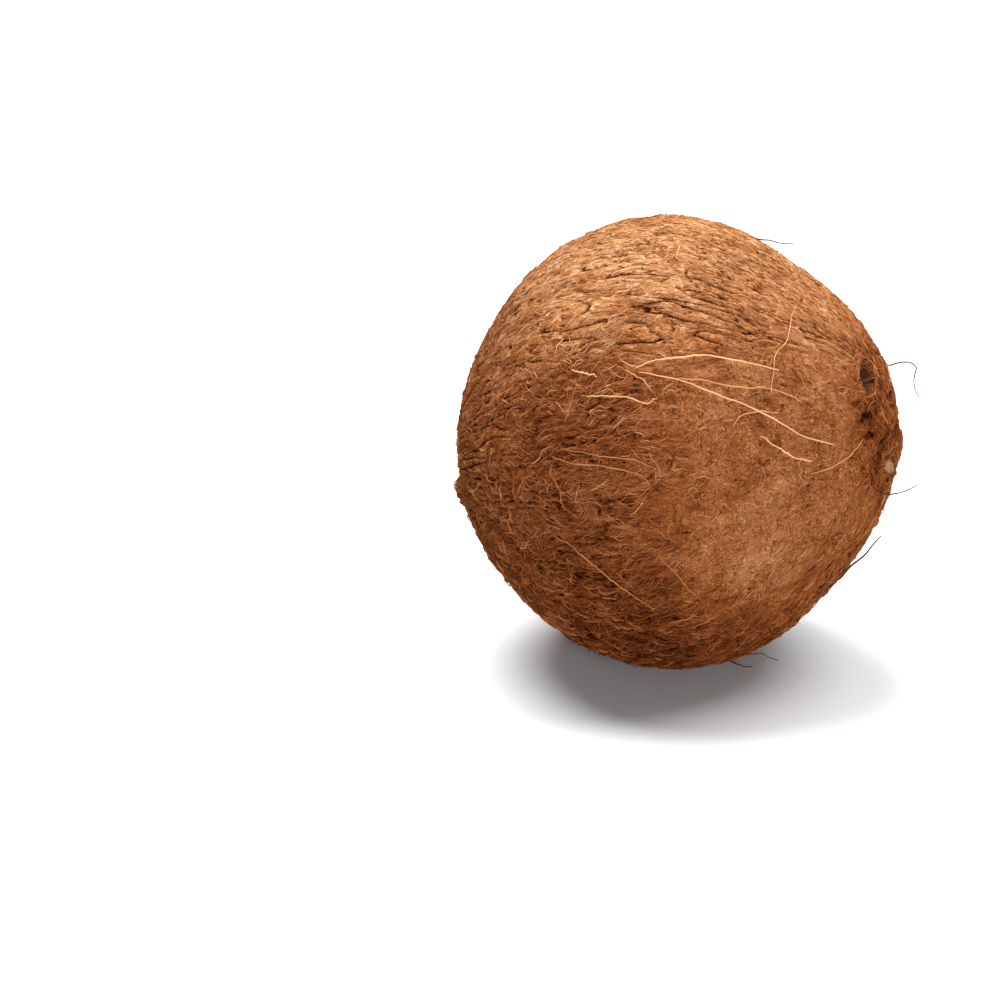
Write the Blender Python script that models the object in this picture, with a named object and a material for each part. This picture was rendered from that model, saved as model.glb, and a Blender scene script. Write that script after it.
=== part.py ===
"""A mature coconut out of its husk, lying on its side with the eye end a little raised.

The nut is one grown piece, so it is one solid. It is shaped about its own long axis, local +X,
which leaves through the middle of the three eyes, and is then tilted and set down on a small
flat spot. World origin: the middle of the nut's footprint, on the surface that it rests on.
World +X is the way the eye end points, +Z is up.
"""

import math

import bmesh
import bpy
from mathutils import Matrix, Vector

# The whole nut, in metres and degrees.
WAIST_RADIUS = 0.0600
EYE_END_LENGTH = 0.0584
BLUNT_END_LENGTH = 0.0586
AXIS_TILT = 13.0
REST_SPOT_DEPTH = 0.0012

# The eye end narrows into a blunt cone, and the other end rounds off a little early.
SHOULDER_HOLLOW = 0.0036
SHOULDER_ANGLE = 50.0
SHOULDER_SPREAD = 25.0
HEEL_HOLLOW = 0.0009
HEEL_ANGLE = 136.0
HEEL_SPREAD = 18.0

# Three ridges run from end to end, each halfway between two eyes, and the nut is a little uneven.
RIDGE_HEIGHT = 0.0005
RIDGE_SHARPNESS = 0.35
CHEEK_BULGE = 0.0005

# The three eyes, evenly spaced round the long axis.
EYE_COUNT = 3
FIRST_EYE_TURN = 38.0
EYE_RING_RADIUS = 0.0146
EYE_RADIUS = 0.0050
EYE_DEPTH = 0.0026
EYE_RIM_HEIGHT = 0.0005
EYE_RIM_WIDTH = 0.0016

# Mesh fineness. Rings crowd towards the eye end, where the detail is.
MERIDIANS = 76
RINGS = 50
RING_CROWDING = 1.25
CUTTER_SIDES = 32
SHARP_EDGE_ANGLE = 40.0

HUSK_BROWN = (0.330, 0.142, 0.058, 1.0)
HUSK_ROUGHNESS = 0.92


def clear_scene():
    for scene_object in list(bpy.data.objects):
        bpy.data.objects.remove(scene_object)


def new_collection(name):
    collection = bpy.data.collections.new(name)
    bpy.context.scene.collection.children.link(collection)
    return collection


def husk_material():
    material = bpy.data.materials.new("coconut_fibre")
    material.use_nodes = True
    shader = material.node_tree.nodes["Principled BSDF"]
    shader.inputs["Base Color"].default_value = HUSK_BROWN
    shader.inputs["Roughness"].default_value = HUSK_ROUGHNESS
    shader.inputs["Metallic"].default_value = 0.0
    return material


def bump(angle, middle, spread):
    """A smooth hump of height 1 at the middle, in degrees."""
    return math.exp(-(((angle - middle) / spread) ** 2))


def turn_direction(turn):
    """Unit vector across the long axis: turn 0 is local up, 90 is towards local -Y."""
    angle = math.radians(turn)
    return Vector((0.0, -math.sin(angle), math.cos(angle)))


def eye_turns():
    return [FIRST_EYE_TURN + index * 360.0 / EYE_COUNT for index in range(EYE_COUNT)]


def smooth_radius(polar, turn):
    """Distance from the nut's centre to its skin, with no eyes. Both angles are in degrees."""
    along = math.cos(math.radians(polar))
    across = math.sin(math.radians(polar))
    end_length = EYE_END_LENGTH if along > 0.0 else BLUNT_END_LENGTH
    radius = 1.0 / math.hypot(along / end_length, across / WAIST_RADIUS)
    radius -= SHOULDER_HOLLOW * bump(polar, SHOULDER_ANGLE, SHOULDER_SPREAD)
    radius -= HEEL_HOLLOW * bump(polar, HEEL_ANGLE, HEEL_SPREAD)
    wave = math.cos(math.radians(EYE_COUNT * (turn - FIRST_EYE_TURN) - 180.0))
    ridge = (wave + RIDGE_SHARPNESS * (2.0 * wave * wave - 1.0)) / (1.0 + RIDGE_SHARPNESS)
    radius += RIDGE_HEIGHT * ridge * across**1.5
    radius -= CHEEK_BULGE * math.sin(math.radians(2.0 * turn)) * across**2
    return radius


def eye_direction(turn):
    """Unit vector from the nut's centre through an eye."""
    return (Vector((EYE_END_LENGTH, 0.0, 0.0)) + EYE_RING_RADIUS * turn_direction(turn)).normalized()


def eye_point(turn):
    """The middle of an eye on the uncut skin."""
    direction = eye_direction(turn)
    polar = math.degrees(direction.angle(Vector((1.0, 0.0, 0.0))))
    return direction * smooth_radius(polar, turn)


def skin_radius(direction, polar, turn):
    """The smooth skin with a low rim raised round each eye."""
    radius = smooth_radius(polar, turn)
    for eye_turn in eye_turns():
        distance = radius * direction.angle(eye_direction(eye_turn), 0.0)
        radius += EYE_RIM_HEIGHT * math.exp(-(((distance - EYE_RADIUS) / EYE_RIM_WIDTH) ** 2))
    return radius


def shape_nut(mesh):
    """A sphere with its poles on local X, each point then moved out to the nut's skin."""
    nut = bmesh.new()
    bmesh.ops.create_uvsphere(nut, u_segments=MERIDIANS, v_segments=RINGS, radius=1.0)
    bmesh.ops.rotate(nut, verts=nut.verts, matrix=Matrix.Rotation(math.radians(90.0), 3, "Y"))
    for vertex in nut.verts:
        even_polar = math.acos(max(-1.0, min(1.0, vertex.co.x)))
        polar = math.pi * (even_polar / math.pi) ** RING_CROWDING
        turn = math.degrees(math.atan2(-vertex.co.y, vertex.co.z))
        direction = Vector((math.cos(polar), 0.0, 0.0)) + math.sin(polar) * turn_direction(turn)
        vertex.co = direction * skin_radius(direction, math.degrees(polar), turn)
    bmesh.ops.recalc_face_normals(nut, faces=nut.faces)
    nut.to_mesh(mesh)
    nut.free()


def set_down(nut):
    """Tilts the nut and puts its footprint over the origin, its lowest skin just under the floor."""
    nut.rotation_euler = (0.0, -math.radians(AXIS_TILT), 0.0)
    tilt = nut.rotation_euler.to_matrix()
    points = [tilt @ vertex.co for vertex in nut.data.vertices]
    lows = [min(point[axis] for point in points) for axis in range(3)]
    highs = [max(point[axis] for point in points) for axis in range(3)]
    nut.location.x = -(lows[0] + highs[0]) / 2.0
    nut.location.y = -(lows[1] + highs[1]) / 2.0
    nut.location.z = -lows[2] - REST_SPOT_DEPTH


def hide_cutter(cutter, collection):
    cutter.hide_render = True
    cutter.display_type = "WIRE"
    collection.objects.link(cutter)


def eye_cutter(index, turn, nut, collection):
    """A ball that leaves a round pit of the eye's width and depth."""
    ball_radius = (EYE_RADIUS**2 + EYE_DEPTH**2) / (2.0 * EYE_DEPTH)
    mesh = bpy.data.meshes.new(f"eye_cutter_{index}")
    ball = bmesh.new()
    bmesh.ops.create_uvsphere(
        ball, u_segments=CUTTER_SIDES, v_segments=CUTTER_SIDES // 2, radius=ball_radius
    )
    ball.to_mesh(mesh)
    ball.free()
    cutter = bpy.data.objects.new(f"eye_cutter_{index}", mesh)
    outwards = eye_direction(turn)
    cutter.location = eye_point(turn) + outwards * (ball_radius - EYE_DEPTH)
    cutter.rotation_euler = outwards.to_track_quat("Z", "Y").to_euler()
    cutter.parent = nut
    hide_cutter(cutter, collection)
    return cutter


def rest_spot_cutter(collection):
    """A block under the floor, which trims the nut's underside flat at z = 0."""
    size = 4.0 * WAIST_RADIUS
    mesh = bpy.data.meshes.new("rest_spot_cutter")
    block = bmesh.new()
    bmesh.ops.create_cube(block, size=size)
    block.to_mesh(mesh)
    block.free()
    cutter = bpy.data.objects.new("rest_spot_cutter", mesh)
    cutter.location.z = -size / 2.0
    hide_cutter(cutter, collection)
    return cutter


def cut(nut, cutter):
    modifier = nut.modifiers.new(cutter.name, "BOOLEAN")
    modifier.operation = "DIFFERENCE"
    modifier.solver = "EXACT"
    modifier.object = cutter


def build_coconut():
    clear_scene()
    parts = new_collection("coconut_parts")
    cutters = new_collection("cutters")

    mesh = bpy.data.meshes.new("coconut")
    shape_nut(mesh)
    mesh.materials.append(husk_material())
    mesh.shade_smooth()
    mesh.set_sharp_from_angle(angle=math.radians(SHARP_EDGE_ANGLE))
    nut = bpy.data.objects.new("coconut", mesh)
    parts.objects.link(nut)
    set_down(nut)

    for index, turn in enumerate(eye_turns()):
        cut(nut, eye_cutter(index, turn, nut, cutters))
    cut(nut, rest_spot_cutter(cutters))


build_coconut()
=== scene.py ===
# A mature coconut out of its husk, lying on its side with the three eyes to the right.
# The hard nut is one skin of matted coir, and every fibre that can be told apart on it is a
# strand of its own, grown over that skin. Lengths are in millimetres until toFrame().
import math

import bpy
import numpy as np
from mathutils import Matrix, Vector
from mathutils.bvhtree import BVHTree


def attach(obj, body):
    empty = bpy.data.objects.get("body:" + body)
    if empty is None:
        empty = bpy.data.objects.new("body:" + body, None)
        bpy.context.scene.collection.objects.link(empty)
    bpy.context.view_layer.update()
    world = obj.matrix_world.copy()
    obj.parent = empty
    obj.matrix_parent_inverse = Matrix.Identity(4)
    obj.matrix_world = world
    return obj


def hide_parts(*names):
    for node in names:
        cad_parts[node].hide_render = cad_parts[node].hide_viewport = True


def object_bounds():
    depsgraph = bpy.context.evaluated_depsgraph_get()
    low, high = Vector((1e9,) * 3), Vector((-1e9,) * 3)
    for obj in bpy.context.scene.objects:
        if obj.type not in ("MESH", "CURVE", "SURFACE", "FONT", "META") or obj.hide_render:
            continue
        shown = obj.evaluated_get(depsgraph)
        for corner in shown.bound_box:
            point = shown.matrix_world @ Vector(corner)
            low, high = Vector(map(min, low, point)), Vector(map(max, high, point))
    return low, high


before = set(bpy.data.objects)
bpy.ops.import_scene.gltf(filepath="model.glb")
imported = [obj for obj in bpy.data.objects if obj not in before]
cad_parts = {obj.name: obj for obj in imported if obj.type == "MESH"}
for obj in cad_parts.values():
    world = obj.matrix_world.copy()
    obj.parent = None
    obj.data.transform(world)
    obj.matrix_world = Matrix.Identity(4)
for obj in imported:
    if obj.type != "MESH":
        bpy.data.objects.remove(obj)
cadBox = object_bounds()

# The nut's own frame: X leaves through the middle of the eyes, polar is the angle from there,
# and turn goes round it, 0 at the top and 90 at the front.
nut = {
    "centre": (0.0, 0.0003, 0.0584),  # metres
    "axisRaised": 13.0,
    "radius": 59.0,
    "eyePolar": 14.0, "eyeRadius": 5.0, "eyeDepth": 2.6,
    # turn, half the opening's width, how far it opens away from the tip, and how plugged it is
    "eyes": (
        (38.0, 3.1, 1.9, 0.0),
        (158.0, 2.4, -0.4, 1.0),
        (278.0, 4.2, 0.4, 0.0),
    ),
}
axisTilt = math.radians(nut["axisRaised"])
nutAxes = np.array([
    [math.cos(axisTilt), 0.0, math.sin(axisTilt)],
    [0.0, 1.0, 0.0],
    [-math.sin(axisTilt), 0.0, math.cos(axisTilt)],
])


def toFrame(points):
    return np.array(nut["centre"]) + (points @ nutAxes) * 0.001


def directionAt(polar, turn):
    polar, turn = np.broadcast_arrays(np.radians(polar), np.radians(turn))
    across = np.sin(polar)
    return np.stack([np.cos(polar), -across * np.sin(turn), across * np.cos(turn)], -1)


def anglesOf(way):
    polar = np.degrees(np.arccos(np.clip(way[..., 0], -1.0, 1.0)))
    return polar, np.degrees(np.arctan2(-way[..., 1], way[..., 2]))


def degreesFrom(way, polar, turn):
    return np.degrees(np.arccos(np.clip(way @ directionAt(polar, turn), -1.0, 1.0)))


def smooth(low, high, value):
    t = np.clip((value - low) / (high - low), 0.0, 1.0)
    return t * t * (3.0 - 2.0 * t)


def unit(v):
    return v / np.maximum(np.linalg.norm(v, axis=-1, keepdims=True), 1e-9)


# Gradient noise over arrays of points, about -1 to 1.
noiseDice = np.random.RandomState(11)
noiseOrder = np.tile(noiseDice.permutation(256), 3)
noiseSlopes = unit(noiseDice.normal(size=(256, 3)))
noiseGain = 1.7


def softNoise(x, y, z):
    cell = [np.floor(a).astype(int) for a in (x, y, z)]
    part = [a - c for a, c in zip((x, y, z), cell)]
    ease = [p * p * p * (p * (p * 6.0 - 15.0) + 10.0) for p in part]
    total = np.zeros(np.shape(x))
    for dx in (0, 1):
        orderX = noiseOrder[(cell[0] + dx) % 256]
        for dy in (0, 1):
            orderY = noiseOrder[orderX + (cell[1] + dy) % 256]
            for dz in (0, 1):
                slope = noiseSlopes[noiseOrder[orderY + (cell[2] + dz) % 256]]
                lean = slope[..., 0] * (part[0] - dx) + slope[..., 1] * (part[1] - dy)
                lean += slope[..., 2] * (part[2] - dz)
                weight = ease[0] if dx else 1.0 - ease[0]
                weight = weight * (ease[1] if dy else 1.0 - ease[1])
                weight = weight * (ease[2] if dz else 1.0 - ease[2])
                total += weight * lean
    return total * noiseGain


def noiseOn(way, size, shift):
    # noise over the nut with lumps of the given size, and another one for each shift
    x, y, z = np.moveaxis(way * (nut["radius"] / size) + shift, -1, 0)
    return softNoise(x, y, z)


# How the coir lies: combed along the nut, curled, or rubbed to a felt. Patches are soft discs.
lay = {
    "patches": (  # kind, polar, turn, size in degrees
        ("combed", 75, -5, 48),
        ("combed", 112, 40, 26),
        ("combed", 82, 165, 30),
        ("combed", 60, 160, 22),
        ("combed", 95, 290, 40),
        ("combed", 150, 0, 40),
        ("curled", 100, 78, 27),
        ("curled", 98, 60, 13),
        ("curled", 104, 118, 24),
        ("curled", 84, 215, 26),
        ("curled", 120, 255, 24),
        ("felted", 52, 92, 30),
        ("felted", 60, 128, 22),
        ("felted", 45, 250, 34),
        ("felted", 130, 170, 28),
    ),
    "kinds": ("combed", "curled", "felted"),
    "patchFalloff": 1.2, "elsewhere": 0.12, "ragged": 0.5, "raggedSize": 14.0, "crispness": 3,
}


def layOf(way):
    # the share of each kind of lay, combed, curled and felted, along the last axis
    weight = np.full(way.shape[:-1] + (3,), lay["elsewhere"])
    for kind, polar, turn, size in lay["patches"]:
        near = np.exp(-((degreesFrom(way, polar, turn) / size) ** 2) * lay["patchFalloff"])
        weight[..., lay["kinds"].index(kind)] += near
    for index in range(3):
        edge = noiseOn(way, lay["raggedSize"], 31.0 * (index + 1))
        weight[..., index] *= 1.0 + lay["ragged"] * edge
    weight = np.clip(weight, 0.01, None) ** lay["crispness"]
    return weight / weight.sum(-1, keepdims=True)


def laySplit(way):
    return np.moveaxis(layOf(way), -1, 0)


# How pale the coir is over the nut, as soft discs on a middling shade. Most discs are painted light
# and shade: paler on the top and upper front where the light falls, darker at the left middle and
# underneath where shade falls; the dark discs round the eye end are the coir's own colour.
tone = {
    "base": 0.485,
    "blotch": 0.09, "blotchSize": 9.0, "speck": 0.07, "speckSize": 2.4,
    # the fade is paler, greyer coir on the upper side: partly faded fibre, partly painted sheen and
    # light from above
    "fadeAndSheenStart": 0.1, "fadeAndSheenEnd": 1.4, "fadeAndSheenRagged": 0.22, "fadeAndSheenSize": 13.0,
    "discs": (  # polar, turn, size in degrees, how much paler
        # painted light and shade on the top and upper front: mostly paler, where the light falls
        (80, 0, 55, 0.08),
        (97, 28, 26, 0.17),
        (61, 113, 17, 0.24),
        (28, 85, 18, 0.06),
        (44, 86, 14, -0.05),
        (33, 32, 15, 0.12),
        # painted shade: darker at the left middle and underneath, where shade falls, and a little
        # darker behind
        (101, 66, 16, -0.10),
        (98, 132, 36, -0.22),
        (90, 190, 45, -0.14),
        (100, 270, 40, -0.06),
        # the coir's own darker colour round the eye end
        (8, 0, 20, -0.12),
        (16, 78, 7, -0.20),
        (13, 128, 7, -0.24),
    ),
}


def fadingAndTopSheen(way):
    # paler, greyer coir on the upper side: partly faded fibre, partly painted sheen and light from
    # above
    top = (way @ nutAxes)[..., 2] + tone["fadeAndSheenRagged"] * noiseOn(way, tone["fadeAndSheenSize"], 77.0)
    return smooth(tone["fadeAndSheenStart"], tone["fadeAndSheenEnd"], top)


def coirShadeAndPaintedLight(way):
    shade = tone["base"] + tone["blotch"] * noiseOn(way, tone["blotchSize"], 3.0)
    shade += tone["speck"] * noiseOn(way, tone["speckSize"], 50.0)
    # the discs add painted light and shade to the coir's own shade
    for polar, turn, size, paler in tone["discs"]:
        shade += paler * np.exp(-((degreesFrom(way, polar, turn) / size) ** 2))
    return shade


# The skin: the CAD nut's own surface, with the coir's bundles, gaps and lumps raised on it.
skin = {
    "cells": 220,  # along each edge of the cube that is blown up into the skin
    "eyeCrowding": 1.2, "atlasMargin": 0.02, "fleckStretch": 3.2,
    "lumpHeight": 0.30, "lumpSize": 11.0, "knobSize": 4.6,
    "roughHeight": 0.20, "roughSize": 1.7,
    "ribHeight": 0.26, "ribWidth": 1.1, "ribLength": 3.4,
    # where ribs and gaps come in, in degrees from the eye end and from the blunt end
    "ribsFrom": ((12.0, 45.0), (4.0, 40.0)), "gapsFrom": ((8.0, 26.0), (6.0, 34.0)),
}

# The gaps between the coir's bundles. Width and length are the bundles', groove is half a gap's
# own width, open says where the noise opens it, and within how much it opens in each kind of lay.
# Line width and line depth are the width and darkness of the painted shade along each gap, which
# also sinks in the bump.
gapKinds = {
    "longGap": {
        "width": 3.2, "length": 21.0, "shift": 0.0, "groove": 0.42, "depth": 0.68, "hides": 1.0,
        "open": (-0.80, 0.0), "patchSize": 7.0, "patchShift": 5.0,
        "within": (("combed", 1.2), ("felted", 0.3), ("curled", 0.6)),
        "lineWidth": 0.50, "lineDepth": 1.0,
    },
    "fineGap": {
        "width": 1.7, "length": 6.5, "shift": 20.0, "groove": 0.34, "depth": 0.40, "hides": 0.7,
        "open": (-0.30, 0.15), "patchSize": 3.4, "patchShift": 44.0,
        "within": (("combed", 1.1), ("felted", 0.4), ("curled", 0.5)),
        "lineWidth": 0.34, "lineDepth": 0.8,
    },
    "tangleGap": {
        "width": 2.4, "length": 3 * 2.4, "shift": 60.0, "groove": 0.42, "depth": 0.65, "hides": 1.0,
        "open": (-0.25, 0.25), "patchSize": 5.0, "patchShift": 70.0,
        "within": (("curled", 1.0), ("felted", 0.22), ("combed", 0.10)),
        "lineWidth": 0.60, "lineDepth": 0.6,
    },
}

# The eye end: bare shell, pits with a torn lip, ridges that run down between them, small holes.
eyeEndShape = {
    "farOff": 9.0,  # what an opening's edge counts as, away from its eye
    "overhang": 1.6, "edgeRough": 0.06, "edgeFrom": 0.86, "edgeTo": 1.10,
    "leastDepth": 1.4, "plugFill": 0.7, "floorRough": 0.22, "floorSunk": 0.3,
    "lipAt": 1.22, "lipWidth": 0.16, "lipHeight": 0.55,
    "ridgeHeight": 1.2, "ridgeWidth": 2.3, "ridgeStart": (-1.0, 5.0), "ridgeStop": (15.0, 27.0),
    "bareReach": 8.0, "bareSoft": 3.0, "bareRagged": 2.2, "bareSunk": 0.35, "bareRough": 0.6,
    "holeNoise": (0.22, 0.50), "holeSize": 2.4, "holeDepth": 0.7, "holesWithin": (15.0, 27.0),
}

# The CAD skin's distance from the centre, cast once in rows that crowd towards the eyes.
tableRows, tableCrowding = 240, 1.5


def castSkin():
    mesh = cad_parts["coconut"].data
    tree = BVHTree.FromPolygons([v.co for v in mesh.vertices], [p.vertices for p in mesh.polygons])
    polar = 180.0 * (np.arange(tableRows + 1) / tableRows) ** tableCrowding
    turn = np.arange(360) - 180.0
    ways = directionAt(polar[:, None], turn[None, :]) @ nutAxes
    start = Vector(nut["centre"])
    reach = [tree.ray_cast(start, Vector(way))[3] for way in ways.reshape(-1, 3)]
    return np.array(reach).reshape(tableRows + 1, 360) * 1000.0


skinTable = castSkin()


def plainReach(way):
    polar, turn = anglesOf(way)
    row = np.clip(tableRows * (polar / 180.0) ** (1.0 / tableCrowding), 0.0, tableRows - 1e-6)
    column = (turn + 180.0) % 360.0
    r0, c0 = row.astype(int), column.astype(int) % 360
    r, c = row - r0, column - np.floor(column)
    c1 = (c0 + 1) % 360
    upper = skinTable[r0, c0] * (1.0 - c) + skinTable[r0, c1] * c
    lower = skinTable[r0 + 1, c0] * (1.0 - c) + skinTable[r0 + 1, c1] * c
    return upper * (1.0 - r) + lower * r


def eyeOpening(way, eye):
    # 1 at the edge of an eye's opening, less inside, and millimetres to the middle of its pit
    turn, halfWidth, shift, _ = eye
    middle = directionAt(nut["eyePolar"], turn)
    toTip, around = towardsEyes(middle)
    along, across = way @ toTip * nut["radius"], way @ around * nut["radius"]
    halfLength = nut["eyeRadius"] + eyeEndShape["overhang"]
    edge = np.abs(along + shift) / halfWidth + (across / halfLength) ** 2
    return np.where(way @ middle > 0.8, edge, eyeEndShape["farOff"]), np.hypot(along, across)


def grainWarp(way):
    # how far the grain strays round the nut, in radians of turn
    return 0.040 * noiseOn(way, 19.0, 2.0) + 0.010 * noiseOn(way, 5.5, 6.0)


def towardsEyes(way):
    # unit steps over the skin: along the nut to the eyes, and round it
    toEyes = unit(np.array([1.0, 0.0, 0.0]) - way[..., :1] * way)
    return toEyes, np.cross(toEyes, way)


def slopesOf(field, way, step):
    # a field's value, and its slopes towards the eyes and round the nut
    toEyes, around = towardsEyes(way)
    here = field(way)
    rise = (field(unit(way + toEyes * step / nut["radius"])) - here) / step
    drift = (field(unit(way + around * step / nut["radius"])) - here) / step
    return here, rise, drift


def grainHeading(way):
    # the angle between the grain and a straight run to the eyes
    _, rise, drift = slopesOf(grainWarp, way, 0.4)
    fromAxis = np.maximum(np.sin(np.radians(anglesOf(way)[0])), 0.15)
    return np.arctan2(-rise, 1.0 / (nut["radius"] * fromAxis) + drift)


def grainField(way, width, length, shift):
    # noise drawn out along the grain, so its zero lines are long gaps that meet at the ends
    polar, turn = np.radians(anglesOf(way))
    turn = turn + grainWarp(way)
    wide, along = nut["radius"] / width, polar * nut["radius"] / length
    return softNoise(np.cos(turn) * wide + shift, np.sin(turn) * wide, along)


def overGap(way, field):
    # millimetres over the skin from the nearest zero line of a field
    here, rise, drift = slopesOf(field, way, 0.25)
    return np.abs(here) / np.sqrt(rise**2 + drift**2 + 0.003)


def offEnds(way, limits):
    # 0 at both ends of the nut, rising to 1 between them
    polar = anglesOf(way)[0]
    return smooth(*limits[0], polar) * smooth(*limits[1], 180.0 - polar)


def gapFields(way):
    # for each kind of gap, how many millimetres off the nearest one is and how open it is
    shares = dict(zip(lay["kinds"], laySplit(way)))
    between = offEnds(way, skin["gapsFrom"])
    fields = {}
    for name, gap in gapKinds.items():
        off = overGap(way, lambda at: grainField(at, gap["width"], gap["length"], gap["shift"]))
        opened = smooth(*gap["open"], noiseOn(way, gap["patchSize"], gap["patchShift"]))
        opened = opened * sum(weight * shares[kind] for kind, weight in gap["within"]) * between
        fields[name] = (off, opened)
    return fields


def coirRelief(way):
    # height over the plain skin, and how open it lies: 0 down in a gap, 1 on a bundle
    combed, curled, _ = laySplit(way)
    height, hidden = 0.0, 0.0
    for name, (off, opened) in gapFields(way).items():
        gap = gapKinds[name]
        down = np.exp(-((off / gap["groove"]) ** 2)) * np.clip(opened, 0.0, 1.0)
        height = height - gap["depth"] * down
        hidden = hidden + gap["hides"] * down
    knobs = noiseOn(way, skin["knobSize"], 95.0) * (0.3 + 0.5 * curled)
    height += skin["lumpHeight"] * (noiseOn(way, skin["lumpSize"], 90.0) + knobs)
    height += skin["roughHeight"] * noiseOn(way, skin["roughSize"], 99.0) * (0.35 + curled)
    ribs = skin["ribHeight"] * grainField(way, skin["ribWidth"], skin["ribLength"], 40.0)
    height += ribs * (0.2 + combed + 0.6 * curled) * offEnds(way, skin["ribsFrom"])
    return height, 1.0 - np.clip(hidden, 0.0, 1.0)


def eyeEnd(way):
    # bare shell round the eyes, the open pits, the torn lip of each and the ridges between them
    shape, depthOfPit = eyeEndShape, nut["eyeDepth"]
    polar, turn = anglesOf(way)
    opened, plugged, lip, fill, ridge = (np.zeros(way.shape[:-1]) for _ in range(5))
    ball = (nut["eyeRadius"] ** 2 + depthOfPit**2) / (2.0 * depthOfPit)
    fromTip = np.radians(polar) * nut["radius"]
    nearest = fromTip
    for eye in nut["eyes"]:
        edge, off = eyeOpening(way, eye)
        edge = edge + shape["edgeRough"] * noiseOn(way, 1.6, 8.0)
        isNear, plug = edge < shape["farOff"], eye[3]
        isOpen = 1.0 - smooth(shape["edgeFrom"], shape["edgeTo"], edge)
        depth = np.sqrt(np.maximum(ball**2 - off**2, 0.0)) - (ball - depthOfPit)
        depth = np.maximum(depth, 0.0)
        fill += depth * (1.0 - isOpen * (1.0 - shape["plugFill"] * plug)) * isNear
        fill -= np.maximum(shape["leastDepth"] - depth, 0.0) * isOpen * (1.0 - plug)
        opened, plugged = np.maximum(opened, isOpen), np.maximum(plugged, isOpen * plug)
        curb = np.exp(-(((edge - shape["lipAt"]) / shape["lipWidth"]) ** 2))
        lip = np.maximum(lip, curb * (0.7 + 0.6 * noiseOn(way, 2.2, 8.0)))
        nearest = np.where(isNear, np.minimum(nearest, off), nearest)
        aside = np.radians(turn - eye[0] - 60.0)  # each ridge runs halfway between two eyes
        along, across = fromTip * np.cos(aside), fromTip * np.sin(aside)
        reach = smooth(*shape["ridgeStart"], along) * (1.0 - smooth(*shape["ridgeStop"], along))
        ridge = np.maximum(ridge, np.exp(-((across / shape["ridgeWidth"]) ** 2)) * reach)
    nearest = nearest + shape["bareRagged"] * noiseOn(way, 5.0, 7.0)
    bareFrom, bareTo = (shape["bareReach"] + side * shape["bareSoft"] for side in (-1.0, 1.0))
    holes = smooth(*shape["holeNoise"], noiseOn(way, shape["holeSize"], 130.0))
    holes = holes * (1.0 - smooth(*shape["holesWithin"], polar)) * (1.0 - opened)
    return {"bare": 1.0 - smooth(bareFrom, bareTo, nearest), "opened": opened, "plugged": plugged,
            "lip": lip, "fill": fill, "ridge": ridge * (1.0 - opened), "holes": holes}


def skinReach(way):
    # how far out the finished skin lies, how open it lies there, and what the eye end is like
    height, openness = coirRelief(way)
    end, shape = eyeEnd(way), eyeEndShape
    bare, opened = end["bare"], end["opened"]
    height = height * (1.0 - 0.5 * bare) * (1.0 - opened) + end["fill"]
    height += shape["lipHeight"] * end["lip"] + shape["ridgeHeight"] * end["ridge"]
    height -= shape["bareSunk"] * bare * (1.0 - end["lip"]) + shape["holeDepth"] * end["holes"]
    height += shape["bareRough"] * bare * (1.0 - opened) * noiseOn(way, 2.6, 17.0)
    height += opened * (shape["floorRough"] * noiseOn(way, 1.3, 12.0) - shape["floorSunk"])
    return plainReach(way) + height, openness, end


def aboveFloor(points, clearance=0.0):
    # presses what would hang under the nut up to the surface that it rests on
    world = toFrame(points)
    world[..., 2] = np.maximum(world[..., 2], clearance * 0.001)
    return world


def cubeBall(cells):
    # six square grids on a cube, blown up to a ball: directions, quads and an atlas for each quad
    lattice, atlas = [], []
    margin = skin["atlasMargin"]
    steps = np.arange(cells)
    i, j = (g.ravel() for g in np.meshgrid(steps, steps, indexing="ij"))
    for axis in range(3):
        for side in (0, 1):
            corners = []
            loop = ((0, 0), (1, 0), (1, 1), (0, 1)) if side else ((0, 0), (0, 1), (1, 1), (1, 0))
            for di, dj in loop:
                spot = np.zeros((i.size, 3), int)
                spot[:, axis] = side * cells
                spot[:, (axis + 1) % 3] = i + di
                spot[:, (axis + 2) % 3] = j + dj
                corners.append(spot)
            lattice.append(np.stack(corners, 1))
            u, v = ((lattice[-1][..., (axis + step) % 3] / cells) for step in (1, 2))
            u = (axis + margin + (1.0 - 2.0 * margin) * u) / 3.0
            v = (side + margin + (1.0 - 2.0 * margin) * v) / 2.0
            atlas.append(np.stack([u, v], -1))
    lattice = np.concatenate(lattice).reshape(-1, 3)
    span = cells + 1
    keys = lattice @ [span * span, span, 1]
    _, first, quads = np.unique(keys, return_index=True, return_inverse=True)
    way = unit(np.tan((2.0 * lattice[first] / cells - 1.0) * math.pi / 4.0))
    return way, quads.reshape(-1, 4), np.concatenate(atlas).reshape(-1, 2)


def meshPiece(name, points, faces, atlas, material, masks=()):
    mesh = bpy.data.meshes.new(name)
    mesh.from_pydata(points, [], faces)
    layer = mesh.uv_layers.new(name="OFBake")
    layer.data.foreach_set("uv", np.asarray(atlas, np.float32).ravel())
    for maskName, values in masks:
        kind, field = ("FLOAT", "value") if values.ndim == 1 else ("FLOAT_VECTOR", "vector")
        mask = mesh.attributes.new(maskName, kind, "POINT")
        mask.data.foreach_set(field, values.astype(np.float32).ravel())
    mesh.polygons.foreach_set("use_smooth", np.ones(len(mesh.polygons), bool))
    mesh.materials.append(material)
    mesh.update()
    piece = bpy.data.objects.new(name, mesh)
    bpy.context.scene.collection.objects.link(piece)
    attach(piece, "root")
    return piece


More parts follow.
